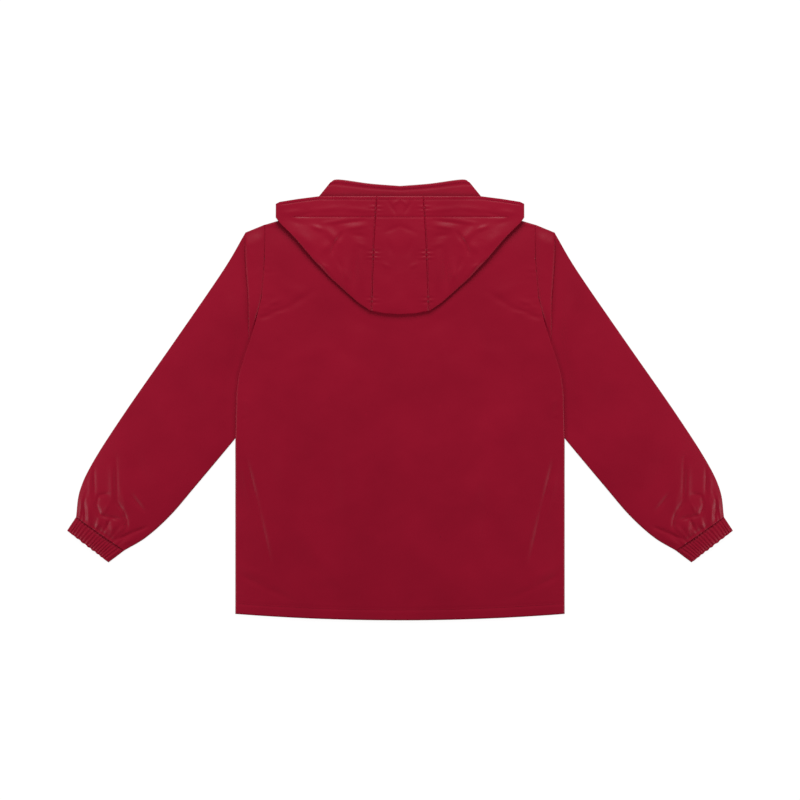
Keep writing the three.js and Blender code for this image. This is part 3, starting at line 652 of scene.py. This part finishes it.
def hood_gap(x, y):
    face, lower = read_table(FACE_EDGE, np.abs(x)), read_table(LOWER_EDGE, np.abs(x))
    t = np.clip((y - lower) / (face - lower), 0, 1)
    cheek = fade(120, CORNER_X - 4, np.abs(x))
    return 0.3 + FOLD_ROLL * cheek + (HOOD_LOFT - FOLD_ROLL) * np.sin(np.pi * np.sqrt(t)) * cheek


def hood_points(x0, creases, seam_side):
    """x0: the columns' places at the strip seam's mean width, one after the other."""
    down = np.concatenate([np.linspace(0, 0.94, int(96 * quality)), [0.96, 0.98, 0.992]])
    x, v = np.meshgrid(x0, down, indexing="ij")
    face, lower = read_table(FACE_EDGE, np.abs(x)), read_table(LOWER_EDGE, np.abs(x))
    neck = read_table(NECK_EDGE, np.abs(x))
    y = mix(face, lower, v)
    z = hood_under(x, y) + CLOTH + hood_gap(x, y) + MID
    inside = smooth(0, 9, y - lower) * smooth(0, 5, face - y) * fade(CORNER_X - 16, CORNER_X, np.abs(x))
    z = z + crease_height(x, y, creases) * inside + 0.6 * soft_noise(x, y, 26, 12.5) * inside
    z = z - 0.7 * np.exp(-((y - TUNNEL_Y) / 1.5) ** 2) * inside * fade(172, 190, np.abs(x))
    z = z - 0.5 * np.exp(-((face - y - FACE_HEM) / 1.3) ** 2) * inside
    from_seam = seam_side(x)
    z = z + seam_puckers(x, y, from_seam, 8, 0.8, 9, 3.0) * inside
    z = z - 0.9 * np.exp(-(from_seam / 1.3) ** 2) * inside
    upper = np.stack([x, y, z], axis=-1)
    under_y = mix(neck, lower, v)
    under = np.stack([x, under_y, hood_under(x, under_y) + MID - 0.1], axis=-1)
    turns = np.linspace(0, np.pi, 9)[1:-1]
    high, low = z[:, -1], under[:, -1, 2]
    roll = [np.stack([x[:, 0], lower[:, 0] + 1.5 - 1.4 * math.sin(a),
                      (high + low) / 2 + (high - low) / 2 * math.cos(a)], axis=-1) for a in turns]
    return np.concatenate([upper, np.stack(roll, axis=1), under[:, ::-1]], axis=1)


def shear_to_strip(points, to_x):
    points = points.copy()
    points[..., 0] = to_x(points[..., 0], points[..., 1])
    return points


def beside_strip(x, y):
    """Moves the side panel's columns so that the first one follows the strip's seam."""
    part = (x - STRIP_MEAN_HALF) / (CORNER_X - STRIP_MEAN_HALF)
    return mix(read_table(STRIP_HALF, y) + 0.15, CORNER_X, part)


def within_strip(x, y):
    return x / STRIP_MEAN_HALF * (read_table(STRIP_HALF, y) - 0.1)


side_x0 = mix(STRIP_MEAN_HALF, CORNER_X, 1 - (1 - steps(110)) ** 1.15)
side = hood_points(side_x0, HOOD_CREASES, lambda x: x - STRIP_MEAN_HALF)
side = shear_to_strip(side, beside_strip)
side[-1] = (side[-1] + side[-1][::-1]) / 2       # the outer end is closed by a fold
for name, points in (("right", side), ("left", mirror_points(side.transpose(1, 0, 2)))):
    panel = grid_mesh("hood_side_" + name, points)
    finish_cloth(panel, hood_cloth, ["hood_" + name])

strip_x0 = mix(-STRIP_MEAN_HALF, STRIP_MEAN_HALF, steps(64))
strip = hood_points(strip_x0, STRIP_CREASES, lambda x: STRIP_MEAN_HALF - np.abs(x))
strip = shear_to_strip(strip, within_strip)
finish_cloth(grid_mesh("hood_strip", strip), hood_cloth, ["hood_centre"])

# %% [markdown]
# ## The zip
# The closed zip lies on the table between the fronts. Its woven tape is one strip, and the
# interlocked teeth are small moulded blocks, so many that they are made in one loop as a
# single mesh. The slider and its pull tab keep their own shape and only get a plated finish.

# %% Zip tape and teeth
tape_colour = tuple(part * 0.62 for part in CRIMSON)
tape_cloth = cloth_material("zip_tape", tape_colour, roughness=0.65)
TOOTH_PITCH, TOOTH = 1.5, (2.6, 0.8, 0.42)


def zip_tape_points():
    u, v = np.meshgrid(np.linspace(-ZIP_HALF, ZIP_HALF, 13), mix(HEM_Y, ZIP_TOP_Y, steps(240)))
    z = hump(u, v) + MID + 0.15 * fade(3.2, 3.8, np.abs(u))
    return np.stack([u, v, z], axis=-1)


finish_cloth(grid_mesh("zip_tape", zip_tape_points()), tape_cloth, ["zip_chain"])


def zip_teeth():
    shape = bmesh.new()
    count = int((ZIP_TOP_Y - 1 - HEM_Y - 3) / TOOTH_PITCH)
    for tooth in range(count):
        side_x = 0.7 if tooth % 2 else -0.7
        y = HEM_Y + 3 + tooth * TOOTH_PITCH
        for face in (-1, 1):
            z = hump(np.array(side_x), np.array(y)) + MID + face * 0.38
            made = bmesh.ops.create_cube(shape, size=1.0)["verts"]
            for vert in made:
                narrow = 0.8 if vert.co.z * face > 0 else 1.0
                vert.co = Vector((side_x + vert.co.x * TOOTH[0] * narrow, y + vert.co.y * TOOTH[1] * narrow,
                                  float(z) + vert.co.z * TOOTH[2])) * MM
    mesh = bpy.data.meshes.new("zip_teeth")
    shape.to_mesh(mesh)
    shape.free()
    teeth = bpy.data.objects.new("zip_teeth", mesh)
    bpy.context.scene.collection.objects.link(teeth)
    return teeth


def moulded_material(name, colour):
    material, nodes, links, shader = new_material(name)
    place = nodes.new("ShaderNodeTexCoord")
    speckle = nodes.new("ShaderNodeTexNoise")
    speckle.inputs["Scale"].default_value = 400.0
    ramp = nodes.new("ShaderNodeValToRGB")
    ramp.color_ramp.elements[0].color = (*[part * 0.8 for part in colour], 1)
    ramp.color_ramp.elements[1].color = (*[part * 1.15 for part in colour], 1)
    links.new(place.outputs["Object"], speckle.inputs["Vector"])
    links.new(speckle.outputs["Fac"], ramp.inputs["Fac"])
    links.new(ramp.outputs["Color"], shader.inputs["Base Color"])
    shader.inputs["Roughness"].default_value = 0.38
    return material


teeth = zip_teeth()
teeth.data.materials.append(moulded_material("zip_teeth", tuple(part * 0.8 for part in CRIMSON)))
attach(teeth, BODY)
print("zip_teeth", len(teeth.data.polygons), "faces")

# %% Plated metal for the slider and the pull tab
def plated_metal():
    material, nodes, links, shader = new_material("zip_metal")
    place = nodes.new("ShaderNodeTexCoord")
    brush = nodes.new("ShaderNodeTexNoise")
    brush.inputs["Scale"].default_value = 900.0
    brush.inputs["Detail"].default_value = 3.0
    wear = nodes.new("ShaderNodeMapRange")
    wear.inputs["To Min"].default_value = 0.26
    wear.inputs["To Max"].default_value = 0.46
    tone = nodes.new("ShaderNodeValToRGB")
    tone.color_ramp.elements[0].color = (0.40, 0.41, 0.43, 1)
    tone.color_ramp.elements[1].color = (0.52, 0.53, 0.55, 1)
    links.new(place.outputs["Object"], brush.inputs["Vector"])
    links.new(brush.outputs["Fac"], wear.inputs["Value"])
    links.new(brush.outputs["Fac"], tone.inputs["Fac"])
    links.new(wear.outputs["Result"], shader.inputs["Roughness"])
    links.new(tone.outputs["Color"], shader.inputs["Base Color"])
    shader.inputs["Metallic"].default_value = 1.0
    return material


zip_metal = plated_metal()
for node in ("zip_slider", "zip_pull"):
    part = frame["nodes"][node]
    part.data.materials.clear()
    part.data.materials.append(zip_metal)
    print(node, "is plated")

# %% [markdown]
# ## Stitching
# Lockstitches are short slanted threads, drawn tight along a line. Here a ray cast down finds
# the cloth's height under each one. They stand a little clear of the cloth instead of biting
# into it. The rows on one piece become one mesh.

# %% Stitches
STITCH = (2.1, 0.5, 0.28)    # length, width and height of one thread's loop
STITCH_STEP = 3.0
STITCH_SLANT = 0.12          # radians off the line
STITCH_CENTRE = 0.27         # above the cloth; less half its height, a stitch stands 0.13 clear
BESIDE_SEAM = 2.2


def stitch_row(shape, surfaces, line, spacing=STITCH_STEP):
    line = np.array(line, float)
    run = np.concatenate([[0], np.cumsum(np.linalg.norm(np.diff(line, axis=0), axis=1))])
    for place in np.arange(spacing / 2, run[-1], spacing):
        x, y = np.interp(place, run, line[:, 0]), np.interp(place, run, line[:, 1])
        ahead_x = np.interp(place + 1, run, line[:, 0]) - x
        ahead_y = np.interp(place + 1, run, line[:, 1]) - y
        angle = math.atan2(ahead_y, ahead_x) + STITCH_SLANT
        hits = [s.ray_cast(Vector((x, y, 60)) * MM, Vector((0, 0, -1))) for s in surfaces]
        heights = [location.z / MM for found, location, _, _ in hits if found]
        if not heights:
            continue
        z = max(heights) + STITCH_CENTRE
        made = bmesh.ops.create_icosphere(shape, subdivisions=1, radius=0.5)["verts"]
        for vert in made:
            a, b = vert.co.x * STITCH[0], vert.co.y * STITCH[1]
            vert.co = Vector((x + a * math.cos(angle) - b * math.sin(angle),
                              y + a * math.sin(angle) + b * math.cos(angle), z + vert.co.z * STITCH[2])) * MM


def hem_line(offset):
    return [(x, hem_y(x) + offset) for x in np.linspace(-276, 276, 60)]


def strip_line(sign, offset):
    return [(sign * (read_table(STRIP_HALF, y) + offset), y) for y in np.linspace(343, 152, 30)]


def tunnel_line(sign):
    return [(sign * x, TUNNEL_Y) for x in np.linspace(46, 186, 20)]


def face_line(start, end):
    return [(x, read_table(FACE_EDGE, abs(x)) - FACE_HEM) for x in np.linspace(start, end, 30)]


def stitched(name, surfaces, lines):
    shape = bmesh.new()
    for line in lines:
        stitch_row(shape, surfaces, line)
    mesh = bpy.data.meshes.new(name)
    shape.to_mesh(mesh)
    shape.free()
    mesh.shade_smooth()
    piece = bpy.data.objects.new(name, mesh)
    bpy.context.scene.collection.objects.link(piece)
    piece.data.materials.append(thread)
    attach(piece, BODY)
    print(name, len(mesh.polygons), "faces")


bpy.context.view_layer.update()
objects = bpy.data.objects
stitched("hem_stitches", [objects["back_panel"]], [hem_line(HEM_DEPTH)])
hood_sides = [objects["hood_side_right"], objects["hood_side_left"]]
stitched("hood_stitches", hood_sides,
         [strip_line(1, BESIDE_SEAM), strip_line(-1, BESIDE_SEAM), tunnel_line(1), tunnel_line(-1),
          face_line(STRIP_MEAN_HALF, 200), face_line(-STRIP_MEAN_HALF, -200)])
stitched("strip_stitches", [objects["hood_strip"]],
         [face_line(-36, 36), [(-38, TUNNEL_Y), (38, TUNNEL_Y)]])
collar_top = plan_curve(COLLAR_BACK_TOP, np.linspace(0, 0.94, 30)) - np.array([0, 5])
stitched("collar_stitches", [objects["stand_collar"]], [collar_top, collar_top * np.array([-1, 1])])

# %% [markdown]
# ## What was cut
# Each sheet states its flat size and area. They are worked out from the plain walls, volume
# over thickness, and hold no seam allowance. Tubes are stated all round. A cuff's is only an
# estimate of its outer layer: a real casing is turned double and cut fuller than this.

def declare(name, flat, area):
    print(name, "is cut", flat, "m and", area, "square metres")


declare("back_panel", (0.562, 0.696), 0.364)
for side in ("left", "right"):
    declare("front_panel_" + side, (0.275, 0.696), 0.166)
    declare("sleeve_tube_" + side, (0.50, 0.60), 0.156)
    declare("cuff_casing_" + side, (0.23, 0.034), 0.0078)
    declare("hood_side_" + side, (0.21, 0.36), 0.0366)
declare("hood_strip", (0.096, 0.37), 0.033)
declare("stand_collar", (0.66, 0.062), 0.038)
declare("zip_tape", (0.012, 0.672), 0.012 * 0.672)


# %% [markdown]
# ## Table, backdrop and light
# A pale table catches a faint shadow. The camera mostly sees it as plain white, so the white
# costs no extra light on the cloth. From below the table isn't seen, but it still shades the
# garment's underside, and a lamp there adds only a little. Soft lamps from the head end and
# both sides graze the creases, and an even sky keeps the rest of the colour as it is mixed.

# %% Table
WHITE_SHARE = 0.86           # how much of the table is seen as plain white; the rest is shaded


def pale_table():
    material, nodes, links, shader = new_material("table")
    shader.inputs["Base Color"].default_value = (0.86, 0.86, 0.86, 1)
    shader.inputs["Roughness"].default_value = 0.9
    glow = nodes.new("ShaderNodeEmission")
    glow.inputs["Strength"].default_value = 1.06
    seen = nodes.new("ShaderNodeLightPath")
    either = nodes.new("ShaderNodeMath")
    either.operation = "MAXIMUM"
    links.new(seen.outputs["Is Camera Ray"], either.inputs[0])
    links.new(seen.outputs["Is Glossy Ray"], either.inputs[1])
    most = nodes.new("ShaderNodeMath")
    most.operation = "MULTIPLY"
    most.inputs[1].default_value = WHITE_SHARE
    links.new(either.outputs["Value"], most.inputs[0])
    blend = nodes.new("ShaderNodeMixShader")
    links.new(most.outputs["Value"], blend.inputs["Fac"])
    links.new(shader.outputs["BSDF"], blend.inputs[1])
    links.new(glow.outputs["Emission"], blend.inputs[2])
    clear = nodes.new("ShaderNodeBsdfTransparent")
    geometry = nodes.new("ShaderNodeNewGeometry")
    one_way = nodes.new("ShaderNodeMixShader")
    links.new(geometry.outputs["Backfacing"], one_way.inputs["Fac"])
    links.new(blend.outputs["Shader"], one_way.inputs[1])
    links.new(clear.outputs["BSDF"], one_way.inputs[2])
    links.new(one_way.outputs["Shader"], nodes["Material Output"].inputs["Surface"])
    return material


bpy.ops.mesh.primitive_plane_add(size=14, location=(0, 0, -0.0006))
table = bpy.context.object
table.name = "table"
table.data.materials.append(pale_table())
print("table", round(table.dimensions.x, 1), "m wide")

# %% Sky and lamps
world = bpy.data.worlds.new("sky")
bpy.context.scene.world = world
world.use_nodes = True
sky_nodes = world.node_tree.nodes
sky_links = world.node_tree.links
sky = sky_nodes["Background"]
sky.inputs["Color"].default_value = (1, 1, 1, 1)
sky.inputs["Strength"].default_value = 0.24
white = sky_nodes.new("ShaderNodeBackground")
white.inputs["Strength"].default_value = 1.0
light_path = sky_nodes.new("ShaderNodeLightPath")
sky_mix = sky_nodes.new("ShaderNodeMixShader")
sky_links.new(light_path.outputs["Is Camera Ray"], sky_mix.inputs["Fac"])
sky_links.new(sky.outputs["Background"], sky_mix.inputs[1])
sky_links.new(white.outputs["Background"], sky_mix.inputs[2])
sky_links.new(sky_mix.outputs["Shader"], sky_nodes["World Output"].inputs["Surface"])


def soft_lamp(name, place, size, watts):
    lamp = bpy.data.lights.new(name, "AREA")
    lamp.size = size
    lamp.energy = watts
    holder = bpy.data.objects.new(name, lamp)
    holder.location = place
    holder.rotation_euler = (-Vector(place)).to_track_quat("-Z", "Y").to_euler()
    bpy.context.scene.collection.objects.link(holder)


soft_lamp("head_lamp", (0.0, 1.9, 1.2), 1.1, 44)
soft_lamp("left_lamp", (-1.9, -0.5, 0.9), 0.8, 20)
soft_lamp("right_lamp", (1.9, -0.5, 0.9), 0.8, 20)
soft_lamp("under_lamp", (0.0, -0.3, -1.8), 1.4, 24)
print("sky", sky.inputs["Strength"].default_value, "and four soft lamps")
